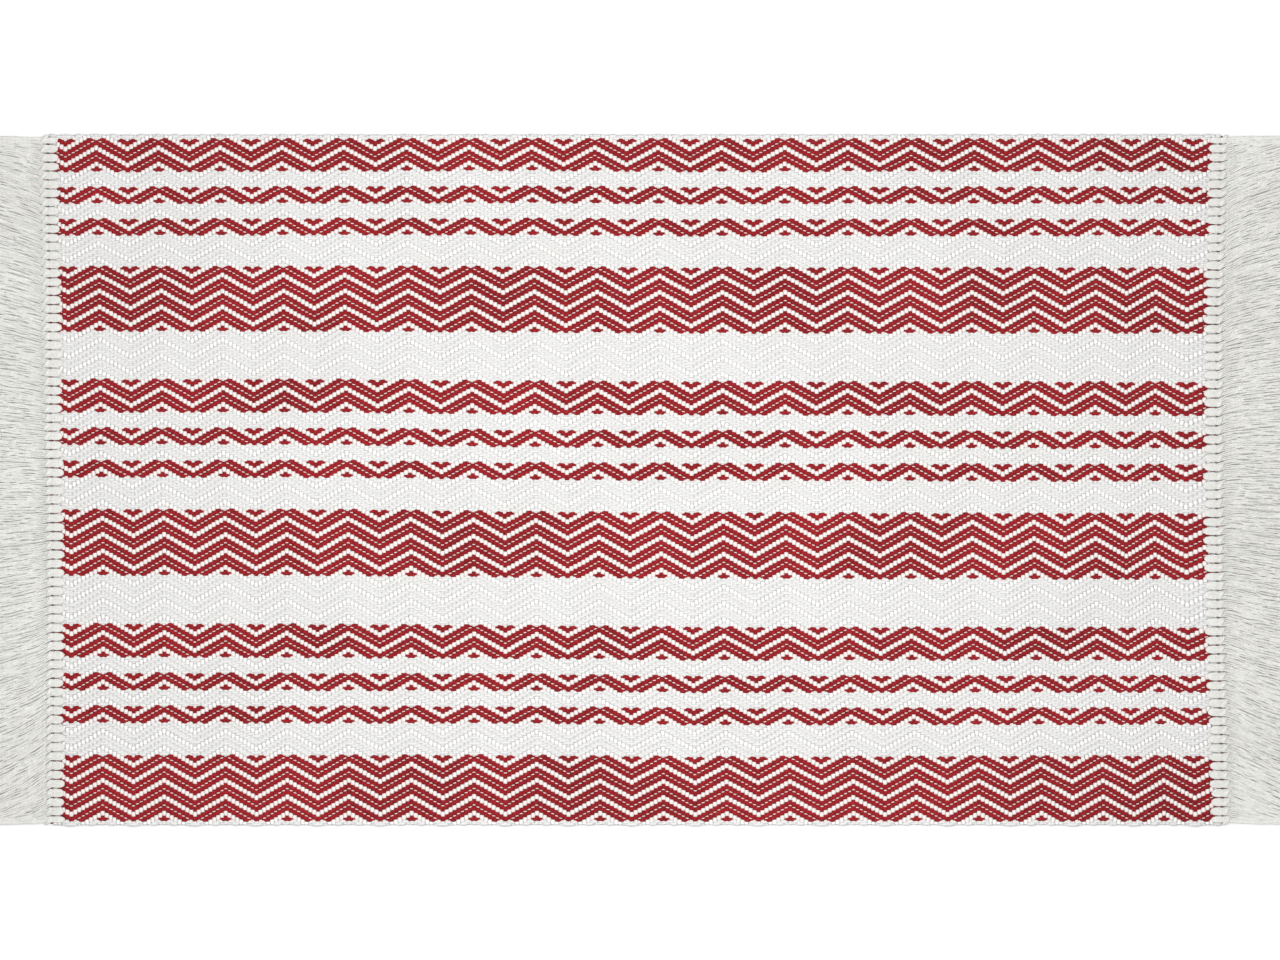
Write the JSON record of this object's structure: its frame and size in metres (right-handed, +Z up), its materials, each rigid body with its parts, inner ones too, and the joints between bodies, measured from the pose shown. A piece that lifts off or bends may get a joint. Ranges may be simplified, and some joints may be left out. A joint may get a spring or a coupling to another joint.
{
  "type": "runner rug",
  "caption": "Flat-woven cotton runner rug with red zigzag twill stripes on off-white and a knotted white fringe at each end.",
  "frame": {"origin": "centre of the rug on the surface it lies on, under its middle", "axes": "+X along the stripes towards the right fringe, +Y across the stripes, +Z up out of the face"},
  "size_m": [1.178, 0.6, 0.005],
  "materials": {
    "red_weft": "crimson cotton weft yarn, point twill",
    "white_weft": "off-white cotton weft yarn, point twill",
    "white_warp": "off-white cotton warp yarn",
    "fringe_yarn": "off-white soft-spun cotton yarn, folded and knotted"
  },
  "bodies": {
    "cloth": {"warp_threads": "white_warp", "red_band_01": "red_weft", "red_band_02": "red_weft", "red_band_03": "red_weft", "red_band_04": "red_weft", "red_band_05": "red_weft", "red_band_06": "red_weft", "red_band_07": "red_weft", "red_band_08": "red_weft", "red_band_09": "red_weft", "red_band_10": "red_weft", "red_band_11": "red_weft", "red_band_12": "red_weft", "white_band_01": "white_weft", "white_band_02": "white_weft", "white_band_03": "white_weft", "white_band_04": "white_weft", "white_band_05": "white_weft", "white_band_06": "white_weft", "white_band_07": "white_weft", "white_band_08": "white_weft", "white_band_09": "white_weft", "white_band_10": "white_weft", "white_band_11": "white_weft", "white_band_12": "white_weft", "white_band_13": "white_weft", "left_selvedge_yarn": "red_weft", "right_selvedge_yarn": "red_weft", "left_knots": "fringe_yarn", "right_knots": "fringe_yarn"},
    "left_fringe_ends": {"left_fringe": "fringe_yarn"},
    "right_fringe_ends": {"right_fringe": "fringe_yarn"}
  },
  "joints": [
    {"name": "left_fringe_flip", "type": "hinge", "parent": "cloth", "child": "left_fringe_ends", "pos_m": [-0.5155, 0, 0.0045], "axis": [0, 1, 0], "range_deg": [0, 170]},
    {"name": "right_fringe_flip", "type": "hinge", "parent": "cloth", "child": "right_fringe_ends", "pos_m": [0.5155, 0, 0.0045], "axis": [0, -1, 0], "range_deg": [0, 170]}
  ]
}
